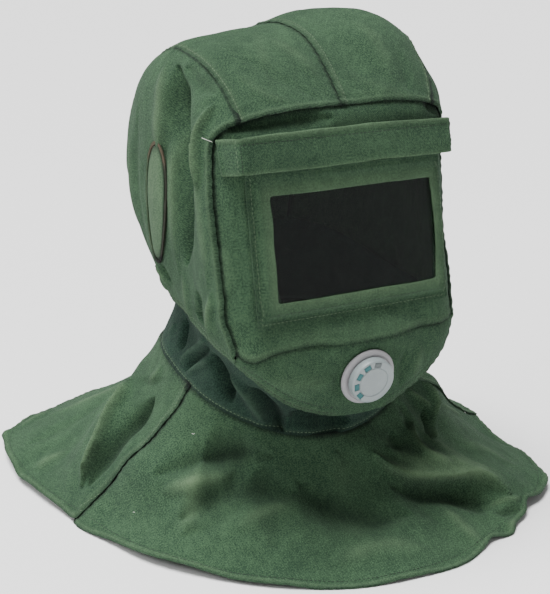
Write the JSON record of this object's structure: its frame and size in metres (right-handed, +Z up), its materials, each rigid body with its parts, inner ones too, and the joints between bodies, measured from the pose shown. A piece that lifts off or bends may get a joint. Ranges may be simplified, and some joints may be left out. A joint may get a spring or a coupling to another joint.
{
  "type": "sandblasting hood",
  "caption": "Sewn canvas head and shoulder hood with a glazed window in a cloth pocket, a brow flap, a round breathing valve at the chin, oval ear patches and a wide cape.",
  "frame": {"origin": "middle of the crown's inner face, where the wearer's head carries the hood", "axes": "+Z up, the window and the wearer face -Y, the wearer's right hand side is -X"},
  "size_m": [0.4475, 0.4778, 0.419],
  "materials": {
    "canvas": "matt woven cotton canvas",
    "neck_canvas": "matt woven cotton canvas, darker and bluer",
    "patch_cloth": "matt pale green cloth",
    "binding": "matt brown woven binding",
    "rim_plastic": "satin moulded grey",
    "cap_plastic": "smooth moulded light grey",
    "grey_mark": "moulded grey",
    "teal_mark": "moulded teal",
    "glass": "clear polished sheet"
  },
  "bodies": {
    "root": {"crown_right": "canvas", "side_panel_right": "canvas", "ear_patch_right": "patch_cloth", "ear_binding_right": "binding", "crown_left": "canvas", "side_panel_left": "canvas", "ear_patch_left": "patch_cloth", "ear_binding_left": "binding", "front_panel": "canvas", "chin_panel": "canvas", "window_glass": "glass", "window_pocket": "canvas", "brow_flap": "canvas", "valve_body": "rim_plastic", "valve_cap": "cap_plastic", "valve_mark_1": "grey_mark", "valve_mark_2": "teal_mark", "valve_mark_3": "teal_mark", "valve_mark_4": "teal_mark", "valve_mark_5": "teal_mark", "neck": "neck_canvas", "cape_front": "canvas", "cape_back": "canvas"}
  },
  "joints": []
}
